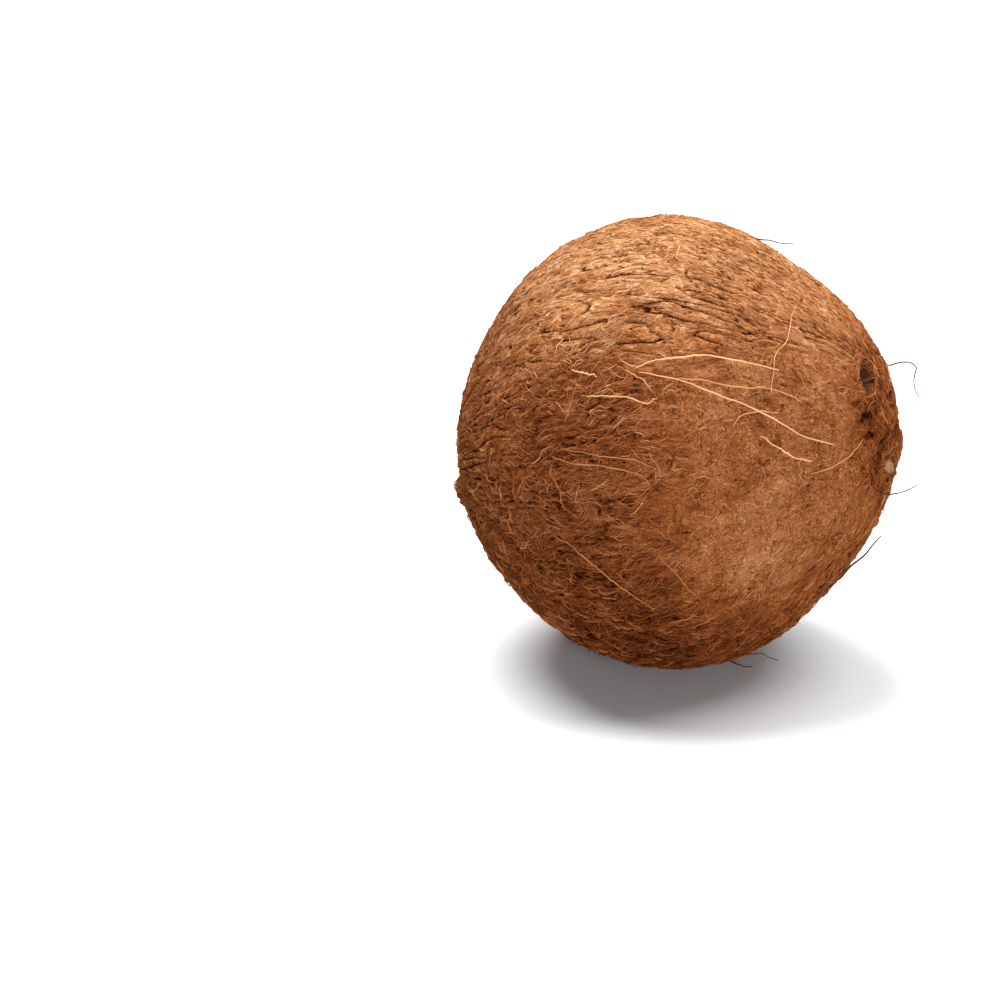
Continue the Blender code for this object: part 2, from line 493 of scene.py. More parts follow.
def buildSkin(material):
    way, quads, atlas = cubeBall(skin["cells"])
    polar, turn = anglesOf(way)
    way = directionAt(180.0 * (polar / 180.0) ** skin["eyeCrowding"], turn)
    reach, openness, end = skinReach(way)
    masks = [(name, end[name]) for name in ("bare", "opened", "plugged", "holes")]
    combed, curled, _ = laySplit(way)
    masks += [("streaky", combed + 0.85 * curled), ("curly", curled)]
    # paleness carries the painted light and shade of the tone discs, and faded the painted sheen
    # from above
    masks += [("paleness", coirShadeAndPaintedLight(way)), ("faded", fadingAndTopSheen(way))]
    for name, (off, opened) in gapFields(way).items():
        shut = 1.0 - np.clip(opened * (1.0 - end["opened"]), 0.0, 1.0)
        masks += [(name, off), (name + "Shut", shut)]
    polar, turn = np.radians(anglesOf(way))
    turn = turn + grainWarp(way)
    along = polar * nut["radius"] / skin["fleckStretch"]
    around = np.cos(turn) * nut["radius"], np.sin(turn) * nut["radius"]
    masks.append(("grain", np.stack([*around, along], -1)))
    points = aboveFloor(way * reach[:, None])
    piece = meshPiece("coirSkin", points, quads.tolist(), atlas, material, masks)
    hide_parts("coconut")
    print("skin:", len(piece.data.polygons), "faces")
    return piece


def feed(tree, value, socket):
    # a plain number is set on the socket, and anything else is linked to it
    if isinstance(value, (int, float)):
        socket.default_value = value
    else:
        tree.links.new(value, socket)


def maths(tree, operation, *values):
    node = tree.nodes.new("ShaderNodeMath")
    node.operation = operation
    for socket, value in zip(node.inputs, values):
        feed(tree, value, socket)
    return node.outputs[0]


def setInputs(node, values):
    for label, value in values.items():
        node.inputs[label].default_value = value


def noiseTexture(tree, place, size, **settings):
    node = tree.nodes.new("ShaderNodeTexNoise")
    feed(tree, place, node.inputs["Vector"])
    feed(tree, size, node.inputs["Scale"])
    setInputs(node, settings)
    return node.outputs["Fac"]


def easedStep(tree, value, low, high, falling=False):
    # 0 below low and 1 above high, or the other way up
    step = tree.nodes.new("ShaderNodeMapRange")
    step.interpolation_type = "SMOOTHSTEP"
    setInputs(step, {"To Min": float(falling), "To Max": float(not falling)})
    for label, part in (("Value", value), ("From Min", low), ("From Max", high)):
        feed(tree, part, step.inputs[label])
    return step.outputs["Result"]


def addUp(tree, start, parts, strengths):
    # start, and each named part times its strength
    for name, strength in strengths.items():
        start = maths(tree, "MULTIPLY_ADD", parts[name], strength, start)
    return start


# Shared effects, as node groups.
def newGroup(name, inputs, outputs):
    # inputs come with their values, and one without a value is a vector
    group = bpy.data.node_groups.new(name, "ShaderNodeTree")
    for label, value in inputs.items():
        kind = "NodeSocketVector" if value is None else "NodeSocketFloat"
        socket = group.interface.new_socket(label, in_out="INPUT", socket_type=kind)
        if value is not None:
            socket.default_value = value
    for label in outputs:
        kind = "NodeSocketColor" if label == "Color" else "NodeSocketFloat"
        group.interface.new_socket(label, in_out="OUTPUT", socket_type=kind)
    start, end = group.nodes.new("NodeGroupInput"), group.nodes.new("NodeGroupOutput")
    return group, start.outputs, end.inputs


def colourSteps(tree, steps, shade):
    ramp = tree.nodes.new("ShaderNodeValToRGB")
    while len(ramp.color_ramp.elements) < len(steps):
        ramp.color_ramp.elements.new(0.5)
    for element, (place, colour) in zip(ramp.color_ramp.elements, steps):
        element.position = place
        element.color = (*colour, 1.0)
    feed(tree, shade, ramp.inputs["Fac"])
    return ramp.outputs["Color"]


def blend(tree, kind, factor, first, second):
    # kind is FLOAT for masks and RGBA for colours
    node = tree.nodes.new("ShaderNodeMix")
    node.data_type = kind
    feed(tree, factor, node.inputs["Factor"])
    socketType = "VALUE" if kind == "FLOAT" else kind
    ends = [socket for socket in node.inputs if socket.type == socketType and socket.name in "AB"]
    for value, socket in zip((first, second), ends):
        feed(tree, value, socket)
    return next(socket for socket in node.outputs if socket.type == socketType)


# shade from 0 to 1, for coir that has kept its colour and for coir that has faded; the faded one
# also gives the painted sheen on the upper side
freshCoir = (
    (0.0, (0.018, 0.004, 0.0013)),
    (0.25, (0.125, 0.029, 0.0070)),
    (0.5, (0.335, 0.097, 0.0255)),
    (0.75, (0.550, 0.218, 0.080)),
    (1.0, (0.780, 0.440, 0.215)),
)
fadedAndSheenCoir = (
    (0.0, (0.026, 0.007, 0.0026)),
    (0.25, (0.145, 0.041, 0.0125)),
    (0.5, (0.370, 0.145, 0.053)),
    (0.75, (0.610, 0.310, 0.140)),
    (1.0, (0.840, 0.570, 0.335)),
)


def coirTintGroup():
    # the colour of coir from how pale and how faded it is, with a slow drift in shade
    inputs = {"Shade": 0.5, "Faded": 0.0, "Place": None, "Drift": 0.1}
    group, start, end = newGroup("coirTint", inputs, ["Color"])
    centred = maths(group, "SUBTRACT", noiseTexture(group, start["Place"], 3.0, Detail=3.0), 0.5)
    shade = maths(group, "MULTIPLY_ADD", centred, start["Drift"], start["Shade"])
    tones = [colourSteps(group, steps, shade) for steps in (freshCoir, fadedAndSheenCoir)]
    feed(group, blend(group, "RGBA", start["Faded"], *tones), end["Color"])
    return group


def fuzzGroup():
    # the fine tangle of hair-thin fibres: a mask and a height
    inputs = {"Place": None, "Size": 900.0}
    group, start, end = newGroup("fineFuzz", inputs, ["Mask", "Height"])
    tangle = noiseTexture(group, start["Place"], start["Size"],
                          Detail=4.0, Roughness=0.62, Distortion=1.6)
    feed(group, easedStep(group, tangle, 0.36, 0.66), end["Mask"])
    feed(group, tangle, end["Height"])
    return group


def gapShadeLineGroup():
    # a dark line along each gap, painted shade down in it: Off is millimetres from its middle, and
    # Shut closes it up
    inputs = {"Off": 1.0, "Shut": 0.0, "Width": 0.4}
    group, start, end = newGroup("gapShadeLine", inputs, ["Gap"])
    off = maths(group, "ADD", start["Off"], start["Shut"])
    feed(group, easedStep(group, off, 0.0, start["Width"], falling=True), end["Gap"])
    return group


def fibreLinesGroup():
    # thin broken lines, such as single fibres lying in the mat
    inputs = {"Place": None, "Size": 500.0, "Width": 0.04}
    group, start, end = newGroup("fibreLines", inputs, ["Line"])
    path = noiseTexture(group, start["Place"], start["Size"], Detail=1.0, Distortion=0.8)
    off = maths(group, "ABSOLUTE", maths(group, "SUBTRACT", path, 0.5))
    line = easedStep(group, off, 0.0, start["Width"], falling=True)
    breakSize = maths(group, "MULTIPLY", start["Size"], 0.73)
    breaks = noiseTexture(group, start["Place"], breakSize, Detail=0.0)
    feed(group, maths(group, "MULTIPLY", line, easedStep(group, breaks, 0.45, 0.55)), end["Line"])
    return group


coirTint = coirTintGroup()
fibreLines = fibreLinesGroup()
fineFuzz = fuzzGroup()
gapShadeLine = gapShadeLineGroup()


def placeGroup(material, group, **values):
    node = material.node_tree.nodes.new("ShaderNodeGroup")
    node.node_tree = group
    setInputs(node, values)
    return node


def newMaterial(name, roughness, gloss):
    material = bpy.data.materials.new(name)
    material.use_nodes = True
    shader = material.node_tree.nodes["Principled BSDF"]
    setInputs(shader, {"Roughness": roughness, "Specular IOR Level": gloss})
    return material, shader


# The skin's looks: what makes it paler or darker, what stands out of it, and two floors of an eye.
# The gaps, the dark lines and the holes are painted shade where the coir sinks.
skinLook = {
    "masks": ("bare", "opened", "plugged", "holes", "streaky", "curly", "paleness", "faded"),
    "shade": {
        # gaps, darkLine and holes darken the sunk places: painted shade
        "fleck": 0.28, "paleLine": 0.24, "thinLine": 0.14, "darkLine": -0.38, "gaps": -0.62,
        "grit": 1.0, "curly": -0.08, "bare": -0.08, "holes": -0.30,
    },
    "darker": 0.59, "drift": 0.15, "driftSize": 22.0,
    "relief": {
        "fleck": 0.35, "grit": 0.7, "paleLine": 0.45, "thinLine": 0.25, "darkLine": -0.4,
        "gaps": -0.7,
    },
    "bump": {"Strength": 0.8, "Distance": 0.0007},
    "eyeFloors": (  # open, then plugged
        ((0.38, (0.010, 0.005, 0.003)), (0.64, (0.120, 0.070, 0.042))),
        ((0.36, (0.260, 0.110, 0.045)), (0.66, (0.880, 0.530, 0.300))),
    ),
    "lines": (  # size and width any way round, then along the grain
        ("paleLine", (620.0, 0.035), (0.75, 0.045)),
        ("thinLine", (1150.0, 0.05), (1.5, 0.06)),
        ("darkLine", (430.0, 0.03), (0.52, 0.05)),
    ),
}


def skinMaterial():
    material, shader = newMaterial("mattedCoir", 0.92, 0.0)
    tree = material.node_tree
    place = tree.nodes.new("ShaderNodeTexCoord").outputs["Object"]

    def drawn(name, output="Fac"):
        node = tree.nodes.new("ShaderNodeAttribute")
        node.attribute_name = name
        return node.outputs[output]

    # the small detail runs along the grain where the coir is combed, and any way elsewhere
    def grained(group, output, anyWay, alongGrain):
        results = []
        for vector, values in ((place, anyWay), (grain, alongGrain)):
            node = placeGroup(material, group, **values)
            feed(tree, vector, node.inputs["Place"])
            results.append(node.outputs[output])
        return blend(tree, "FLOAT", mask["streaky"], *results)

    mask = {name: drawn(name) for name in skinLook["masks"]}
    grain = drawn("grain", "Vector")
    # the dark lines down the gaps: painted shade, also sunk in the bump
    gaps = 0.0
    for name, kind in gapKinds.items():
        gap = placeGroup(material, gapShadeLine, Width=kind["lineWidth"])
        feed(tree, drawn(name), gap.inputs["Off"])
        feed(tree, drawn(name + "Shut"), gap.inputs["Shut"])
        gaps = maths(tree, "MULTIPLY_ADD", gap.outputs["Gap"], kind["lineDepth"], gaps)
    mask["gaps"] = maths(tree, "MINIMUM", gaps, 1.0)
    mask["fleck"] = grained(fineFuzz, "Mask", {"Size": 1300.0}, {"Size": 1.35})
    mask["grit"] = grained(fineFuzz, "Height", {"Size": 2100.0}, {"Size": 2.3})
    for name, (size, width), (grainSize, grainWidth) in skinLook["lines"]:
        mask[name] = grained(fibreLines, "Line", {"Size": size, "Width": width},
                             {"Size": grainSize, "Width": grainWidth})

    shade = addUp(tree, mask["paleness"], mask, skinLook["shade"])
    spread = tree.nodes.new("ShaderNodeVectorMath")
    spread.operation = "SCALE"
    setInputs(spread, {"Scale": skinLook["driftSize"]})
    feed(tree, place, spread.inputs[0])
    tint = placeGroup(material, coirTint, Drift=skinLook["drift"])
    feed(tree, maths(tree, "SUBTRACT", shade, skinLook["darker"]), tint.inputs["Shade"])
    feed(tree, mask["faded"], tint.inputs["Faded"])
    feed(tree, spread.outputs[0], tint.inputs["Place"])
    floors = [colourSteps(tree, steps, mask["grit"]) for steps in skinLook["eyeFloors"]]
    floorTone = blend(tree, "RGBA", mask["plugged"], *floors)
    skinTone = blend(tree, "RGBA", mask["opened"], tint.outputs["Color"], floorTone)
    feed(tree, skinTone, shader.inputs["Base Color"])
    bump = tree.nodes.new("ShaderNodeBump")
    setInputs(bump, skinLook["bump"])
    feed(tree, addUp(tree, 0.0, mask, skinLook["relief"]), bump.inputs["Height"])
    feed(tree, bump.outputs["Normal"], shader.inputs["Normal"])
    return material


def strandMaterial(name, roughness, gloss, drift):
    # on a strand's map, up is how pale it is and across is how faded; on the grown strands both
    # carry painted light, shade and sheen from above
    material, shader = newMaterial(name, roughness, gloss)
    tree = material.node_tree
    chart = tree.nodes.new("ShaderNodeUVMap")
    chart.uv_map = "OFBake"
    split = tree.nodes.new("ShaderNodeSeparateXYZ")
    tint = placeGroup(material, coirTint, Drift=drift)
    feed(tree, chart.outputs["UV"], split.inputs[0])
    feed(tree, split.outputs["Y"], tint.inputs["Shade"])
    feed(tree, split.outputs["X"], tint.inputs["Faded"])
    feed(tree, chart.outputs["UV"], tint.inputs["Place"])
    feed(tree, tint.outputs["Color"], shader.inputs["Base Color"])
    return material


# Strands. Each walks over the skin from its root, heading along the grain or across it.
def walkStrands(dice, roots, heading, length, points, curl, kink):
    # directions along each strand, roots first: curl is a steady turn, kink a wandering one
    count = len(roots)
    way, trail = roots.copy(), [roots.copy()]
    step = length / (points - 1) / nut["radius"]
    bend = dice.normal(0.0, 1.0, count) * curl
    wander = np.zeros(count)
    for index in range(points - 1):
        wander = 0.75 * wander + kink * dice.normal(0.0, 1.0, count)
        angle = grainHeading(way) + heading + bend * (index / (points - 1) - 0.3) + wander
        toEyes, around = towardsEyes(way)
        ahead = np.cos(angle)[:, None] * toEyes + np.sin(angle)[:, None] * around
        way = unit(way + ahead * step[:, None])
        trail.append(way)
    return np.stack(trail, 1)


def layStrands(trail, lift, bridge):
    # points on the skin under the trail, raised by lift; bridge spans the gaps below
    reach = skinReach(trail)[0]
    for _ in range(bridge):
        padded = np.concatenate([reach[:, :1], reach, reach[:, -1:]], 1)
        reach = np.maximum(reach, (padded[:, :-2] + reach + padded[:, 2:]) / 3.0)
    return trail * (reach + lift)[..., None]


# A strand's map: where across it starts and how far fading moves it, the same up for paleness,
# then its own width and height, small enough for the colour to stay even.
strandMap = {
    "left": 0.01, "fadingAndTopSheen": 0.94, "low": 0.02, "paleness": 0.95, "long": 0.03, "wide": 0.003,
}
strandClearance = 0.05  # off the surface that the nut rests on


def tubes(points, thickness, taper, sides, shade, faded):
    # one closed tube along each row of points, mapped by how pale and how faded it is
    count, length = points.shape[:2]
    forward = unit(np.gradient(points, axis=1))
    side = unit(np.cross(forward, unit(points)))
    lifted = np.cross(side, forward)
    angle = 2.0 * math.pi * np.arange(sides) / sides
    radius = 0.5 * thickness[:, None] * taper
    ring = lifted[:, :, None] * np.cos(angle)[:, None] + side[:, :, None] * np.sin(angle)[:, None]
    rings = points[:, :, None] + ring * radius[:, :, None, None]
    base = (np.arange(count) * length * sides)[:, None, None]
    row = (np.arange(length - 1) * sides)[None, :, None]
    around = np.arange(sides)[None, None, :]
    after = (around + 1) % sides
    walls = np.stack([base + row + around, base + row + sides + around,
                      base + row + sides + after, base + row + after], -1).reshape(-1, 4)
    first = base[:, 0] + np.arange(sides)
    last = base[:, 0] + (length - 1) * sides + np.arange(sides)[::-1]
    across = strandMap["left"] + strandMap["fadingAndTopSheen"] * np.clip(faded, 0.0, 1.0)
    up = strandMap["low"] + strandMap["paleness"] * np.clip(shade, 0.0, 1.0)
    along = strandMap["long"] * np.arange(length) / (length - 1)
    u = across[:, None, None] + along[:, None] + strandMap["wide"] * (np.arange(sides) % 2)
    v = up[:, None, None] + strandMap["wide"] * np.arange(sides)
    atlas = np.stack(np.broadcast_arrays(u, v), -1).reshape(-1, 2)
    corners = np.concatenate([walls.ravel(), first.ravel(), last.ravel()])
    return rings.reshape(-1, 3), walls.tolist() + first.tolist() + last.tolist(), atlas[corners]


def strandPiece(name, material, *strands):
    rings, faces, atlas = tubes(*strands)
    meshPiece(name, aboveFloor(rings, strandClearance), faces, atlas, material)


def spindle(share, ends, start=0.05, stop=0.95):
    # a strand's thickness from root to tip, 1 in the middle and less at its ends
    return ends + (1.0 - ends) * np.sin(math.pi * np.clip(share, start, stop)) ** 0.6


def scatterRoots(dice, count, keep):
    # even over the nut, then thinned to the share that keep() asks for
    found = []
    while sum(map(len, found)) < count:
        way = unit(dice.normal(size=(count, 3)))
        found.append(way[dice.uniform(size=count) < keep(way)])
    return np.concatenate(found)[:count]


def awayFromEyes(way):
    edges = [eyeOpening(way, eye)[0] for eye in nut["eyes"]]
    return smooth(1.05, 1.35, np.min(edges, 0))


def thicknessOf(dice, plan, count):
    # mostly thin, with a few thick ones
    thin, thick = plan["thickness"]
    return thin + (thick - thin) * dice.uniform(size=count) ** 2


# What all the families share.
growth = {
    "lengthBias": (1.5, 2.5), "tuftSpread": 0.35, "tuftWidth": 0.014,
    "anyWayNearEnds": (4.0, 16.0),  # degrees from either end of the nut
    "humpPower": 0.7, "paintedGapShade": 0.14, "gapLevel": 0.8, "ends": 0.35,
}


def growStrands(plan, dice, roots):
    # points, thickness, taper, sides, shade and fading, with painted sheen from above, of the
    # strands that start at the roots
    count, points, inTufts = len(roots), plan["points"], plan["tuft"] > 1
    short, long = plan["length"]
    length = short + (long - short) * dice.beta(*growth["lengthBias"], count)
    tufts = count // plan["tuft"]
    heading = plan["spread"] * dice.normal(0.0, 1.0, tufts)
    heading += math.pi * (dice.uniform(size=tufts) < 0.5)
    fan = inTufts * growth["tuftSpread"] * dice.normal(0.0, 1.0, count)
    heading = np.repeat(heading, plan["tuft"]) + fan
    fromEnd = 90.0 - np.abs(anglesOf(roots)[0] - 90.0)
    anyWay = 1.0 - smooth(*growth["anyWayNearEnds"], fromEnd)
    heading += dice.uniform(-math.pi, math.pi, count) * anyWay
    trail = walkStrands(dice, roots, heading, length, points, plan["curl"], plan["kink"])
    share = np.linspace(0.0, 1.0, points)
    hump = np.sin(math.pi * share) ** growth["humpPower"]
    lift = dice.uniform(*plan["lift"], count)[:, None] * hump - plan["sink"] * (1.0 - hump)
    middle = trail[:, points // 2]
    shade = coirShadeAndPaintedLight(middle) + plan["paler"] + plan["uneven"] * dice.normal(0.0, 1.0, count)
    # darker where the strand lies down in a gap: painted shade
    shade += growth["paintedGapShade"] * (coirRelief(middle)[1] - growth["gapLevel"])
    laid = layStrands(trail, lift, plan["bridge"])
    thickness = thicknessOf(dice, plan, count)
    return laid, thickness, spindle(share, growth["ends"]), plan["sides"], shade, fadingAndTopSheen(middle)


def buildFamily(name, plan, keep, material):
    dice = np.random.RandomState(plan["seed"])
    for index in range(plan["pieces"]):
        starts = scatterRoots(dice, plan["perPiece"] // plan["tuft"], keep)
        roots = np.repeat(starts, plan["tuft"], 0)
        apart = (plan["tuft"] > 1) * growth["tuftWidth"] * dice.normal(size=roots.shape)
        strandPiece(f"{name}{index + 1}", material, *growStrands(plan, dice, unit(roots + apart)))
    print(name + ":", plan["pieces"] * plan["perPiece"], "strands")


combedCoir = {  # straight, lying with the grain between its gaps
    "seed": 101, "pieces": 2, "perPiece": 3750, "tuft": 1, "points": 6, "sides": 3,
    "length": (1.5, 8.0), "thickness": (0.13, 0.44), "spread": 0.14, "curl": 0.25, "kink": 0.13,
    "lift": (0.0, 0.25), "sink": 0.14, "bridge": 0, "paler": 0.03, "uneven": 0.12,
}


def combedRoots(way):
    return awayFromEyes(way) * laySplit(way)[0] * coirRelief(way)[1] ** 2


feltedCoir = {  # thin and rubbed flat, any way round
    "seed": 202, "pieces": 2, "perPiece": 4250, "tuft": 1, "points": 5, "sides": 3,
    "length": (1.5, 6.0), "thickness": (0.11, 0.30), "spread": 1.3, "curl": 0.8, "kink": 0.22,
    "lift": (0.0, 0.26), "sink": 0.10, "bridge": 0, "paler": 0.02, "uneven": 0.17,
}


def feltedRoots(way):
    combed, curled, felted = laySplit(way)
    share = np.clip(felted + 0.4 * curled + 0.15 * combed, 0.0, 1.0)
    return awayFromEyes(way) * share * coirRelief(way)[1]


curledCoir = {  # torn up and kinked, over open gaps
    "seed": 303, "pieces": 2, "perPiece": 4000, "tuft": 1, "points": 7, "sides": 3,
    "length": (2.0, 8.0), "thickness": (0.14, 0.38), "spread": 0.40, "curl": 0.6, "kink": 0.30,
    "lift": (0.05, 0.60), "sink": 0.15, "bridge": 1, "paler": 0.06, "uneven": 0.16,
}


def curledRoots(way):
    share = np.clip(laySplit(way)[1] + 0.08, 0.0, 1.0)
    return awayFromEyes(way) * share * (0.3 + 0.7 * coirRelief(way)[1])


wispyCoir = {  # pale kinked strands in small tufts, lying over the rest
    "seed": 404, "pieces": 1, "perPiece": 1600, "tuft": 5, "points": 14, "sides": 4,
    "length": (2.0, 9.0), "thickness": (0.13, 0.32), "spread": 0.45, "curl": 0.6, "kink": 0.30,
    "lift": (0.2, 0.8), "sink": 0.15, "bridge": 3, "paler": 0.16, "uneven": 0.11,
}


def wispyRoots(way):
    combed, curled, felted = laySplit(way)
    return awayFromEyes(way) * np.clip(curled + 0.04 * felted + 0.03 * combed, 0.0, 1.0)


fuzz = {  # short hairs all over
    "seed": 505, "count": 13000, "points": 3, "sides": 3, "curl": 0.8, "kink": 0.3,
    "length": (0.8, 2.2), "thickness": (0.06, 0.12), "rise": (0.1, 0.9), "sink": 0.1,
    "paler": 0.06, "uneven": 0.06,
}


def buildFuzz(material):
    dice = np.random.RandomState(fuzz["seed"])
    count, points = fuzz["count"], fuzz["points"]
    roots = scatterRoots(dice, count, awayFromEyes)
    length = dice.uniform(*fuzz["length"], count)
    heading = dice.uniform(-math.pi, math.pi, count)
    trail = walkStrands(dice, roots, heading, length, points, fuzz["curl"], fuzz["kink"])
    share = np.linspace(0.0, 1.0, points)
    tip = dice.uniform(*fuzz["rise"], count) * length * 0.5
    lift = tip[:, None] * share - fuzz["sink"] * (1.0 - share)
    shade = coirShadeAndPaintedLight(roots) + fuzz["paler"] + fuzz["uneven"] * dice.normal(0.0, 1.0, count)
    strandPiece("coirFuzz", material, layStrands(trail, lift, 0), thicknessOf(dice, fuzz, count),
                1.0 - 0.6 * share, fuzz["sides"], shade, fadingAndTopSheen(roots))
    print("fuzz:", count, "hairs")


# Strands with a place of their own. Each bend is polar and turn in degrees, and its lift.
loose = {
    "seed": 606, "points": 36, "sides": 6, "bridge": 5,
    "thinner": 0.72, "faded": 0.35, "ends": 0.40,
    "bounce": 0.10, "bounceWaves": (8.0, 20.0), "wobble": 0.0015,
    "uneven": 0.18, "unevenWaves": (12.0, 40.0),
    "routes": (  # thickness, paleness, then the bends; the lower paleness of the strands on the lower left front is painted shade
        (0.58, 0.95, ((82, 57, 0.1), (77, 55, 0.7), (66, 53, 0.9), (56, 54, 0.9), (45, 55, 0.5))),
        (0.44, 0.80, ((72, 60, 0.2), (65, 61, 0.7), (56, 63, 0.6), (48, 63, 0.8), (39, 67, 0.3))),
        (0.58, 0.92, ((81, 58, 0.2), (71, 61, 0.7), (61, 65, 0.9), (50, 71, 1.0), (40, 80, 0.8),
                      (31, 88, 0.3))),
        (0.60, 0.93, ((52, 78, 0.2), (46, 85, 0.7), (39, 91, 0.4))),
        (0.36, 0.85, ((48, 65, 0.9), (46, 50, 0.6), (43, 42, 0.5), (42, 30, 0.2), (41, 12, -0.1))),
        (0.52, 0.64, ((108, 95, 0.1), (102, 100, 0.7), (97, 106, 0.9), (88, 118, 0.4))),
        (0.40, 0.64, ((83, 103, 0.2), (80, 110, 0.7), (77, 119, 0.3))),
        (0.60, 0.95, ((98, 55, 0.3), (94, 57, 0.8), (91, 58, 0.6))),
        (0.56, 0.86, ((96, 62, 0.1), (91, 63, 0.7), (83, 64, 0.8), (79, 66, 0.7), (77, 65, 0.3))),
        (0.50, 0.80, ((84, 57, 0.2), (81, 59, 0.7), (78, 63, 0.5))),
        (0.42, 0.82, ((59, 74, 0.2), (56, 71, 0.6), (51, 70, 0.5), (46, 71, 0.4))),
        (0.38, 0.88, ((76, 14, 0.2), (75, 14, 0.7), (74, 17, 0.9), (74, 20, 0.7), (73, 22, 0.3))),
        (0.40, 0.66, ((106, 75, 0.1), (98, 78, 0.6), (90, 80, 0.7), (83, 83, 0.6), (81, 86, 0.3))),
        (0.38, 0.68, ((102, 74, 0.2), (92, 77, 0.7), (83, 79, 0.6), (79, 82, 0.3))),
        (0.32, 0.64, ((105, 77, 0.2), (105, 80, 0.6), (103, 84, 0.6), (103, 88, 0.5),
                      (100, 91, 0.3))),
        (0.44, 0.74, ((40, 96, 0.2), (34, 98, 0.6), (27, 97, 0.6), (21, 92, 0.3))),
    ),
}


def routeTrail(route, points):
    # a smooth walk through the bends, and its lift
    bends = np.array(route, float)
    marks = np.concatenate([directionAt(bends[:, 0], bends[:, 1]), bends[:, 2:]], 1)
    spots = np.linspace(0.0, len(marks) - 1.0, points)
    ends = np.concatenate([2.0 * marks[:1] - marks[1:2], marks, 2.0 * marks[-1:] - marks[-2:-1]])
    at = np.minimum(spots.astype(int), len(marks) - 2)
    t = (spots - at)[:, None]
    a, b, c, d = ends[at], ends[at + 1], ends[at + 2], ends[at + 3]
    square, cube = 2 * a - 5 * b + 4 * c - d, 3 * b - a - 3 * c + d
    path = 0.5 * (2 * b + (c - a) * t + square * t**2 + cube * t**3)
    return unit(path[:, :3]), path[:, 3]


def routeTrails(plan):
    # the trails and lifts of all the routes in a plan, whose bends come last
    routes = [routeTrail(route[-1], plan["points"]) for route in plan["routes"]]
    return (np.stack(part) for part in zip(*routes))


def buildLoose(material):
    dice = np.random.RandomState(loose["seed"])
    trail, lift = routeTrails(loose)
    count, share = len(trail), np.linspace(0.0, 1.0, loose["points"])
    bounce = np.sin(share * dice.uniform(*loose["bounceWaves"], count)[:, None])
    lift = lift + loose["bounce"] * bounce
    aside = unit(np.cross(trail, np.gradient(trail, axis=1)))
    wobble = np.cumsum(dice.normal(0.0, 1.0, (count, loose["points"])), 1)
    wobble -= wobble[:, :1] + (wobble[:, -1:] - wobble[:, :1]) * share
    trail = unit(trail + aside * (loose["wobble"] * wobble)[..., None])
    thickness, shade = np.array([route[:2] for route in loose["routes"]]).T
    waves = np.sin(share * dice.uniform(*loose["unevenWaves"], count)[:, None])
    taper = spindle(share, loose["ends"], 0.04, 0.9) * (1.0 + loose["uneven"] * waves)
    laid = layStrands(trail, lift, loose["bridge"])
    faded = np.full(count, loose["faded"])
    thickness = loose["thinner"] * thickness
    strandPiece("looseStrands", material, laid, thickness, taper, loose["sides"], shade, faded)
    print("loose strands:", count)


# Hairs that stand clear of the outline, some placed and the rest scattered.
stray = {
    "seed": 707, "points": 16, "sides": 4, "bridge": 3, "faded": 0.9, "uneven": 0.06,
    "placedShade": 0.22, "scatteredShade": 0.42,
    "extra": 40, "thickness": (0.16, 0.30), "length": (3.0, 8.0), "rise": (0.8, 2.6),
    "curl": 0.8, "kink": 0.3, "sag": 0.15, "sink": 0.1, "furthestBack": -0.6,
    "routes": (  # thickness, then the bends
        (0.50, ((66, -15, -0.3), (63, -16, 0.3), (61, -17, 0.6), (56, -19, 2.2), (52, -20, 4.3))),
        (0.50, ((17, -20, -0.3), (13, -32, 0.4), (15, -51, 4.2), (14, -54, 7.0), (12, -69, 7.4),
                (10, -88, 7.0))),
        (0.54, ((22, 130, -0.3), (21, 149, 0.3), (23, -171, 0.9), (22, -169, 3.7),
                (20, -167, 6.4))),
        (0.66, ((49, 172, -0.3), (46, 174, 0.5), (42, 175, 1.2), (38, 177, 2.0), (33, 179, 2.8))),
        (0.46, ((80, 160, -0.3), (78, 162, 0.3), (75, 165, 1.8), (74, 166, 3.8), (72, 166, 5.8))),
        (0.46, ((83, 162, -0.3), (81, 163, 1.7), (80, 164, 3.1), (78, 164, 4.0))),
    ),
}


def strayRoots(way):
    return awayFromEyes(way) * (way[:, 0] > stray["furthestBack"])


def buildStray(material):
    dice, extra, points = np.random.RandomState(stray["seed"]), stray["extra"], stray["points"]
    placed, placedLift = routeTrails(stray)
    roots = scatterRoots(dice, extra, strayRoots)
    heading = dice.uniform(-math.pi, math.pi, extra)
    length, rise = dice.uniform(*stray["length"], extra), dice.uniform(*stray["rise"], extra)
    trail = walkStrands(dice, roots, heading, length, points, stray["curl"], stray["kink"])
    share = np.linspace(0.0, 1.0, points)
    lift = rise[:, None] * (share**1.5 - stray["sag"] * np.sin(math.pi * share))
    lift -= stray["sink"] * (1.0 - share) ** 4
    pairs = ((placed, placedLift), (trail, lift))
    laid = np.concatenate([layStrands(*pair, stray["bridge"]) for pair in pairs])
    count = len(laid)
    isPlaced = np.arange(count) < len(placed)
    shade = np.where(isPlaced, stray["placedShade"], stray["scatteredShade"])
    shade = shade + stray["uneven"] * dice.normal(0.0, 1.0, count)
    thickness = thicknessOf(dice, stray, count)
    thickness[isPlaced] = [route[0] for route in stray["routes"]]
    faded = np.full(count, stray["faded"])
    taper = 1.0 - 0.5 * share**2
    strandPiece("strayHairs", material, laid, thickness, taper, stray["sides"], shade, faded)
    print("stray hairs:", count)


# Strands bent round the lip of each eye.
eyeRims = {
    "seed": 808, "perEye": 60, "points": 12, "sides": 4, "bridge": 1, "thickness": (0.14, 0.38),
    "beyond": (0.3, 2.6), "arc": (25.0, 110.0), "flare": 2.6, "lift": (0.0, 0.45), "sink": 0.10,
    "paleness": 0.46, "uneven": 0.10, "faded": 0.4, "ends": 0.4,
}


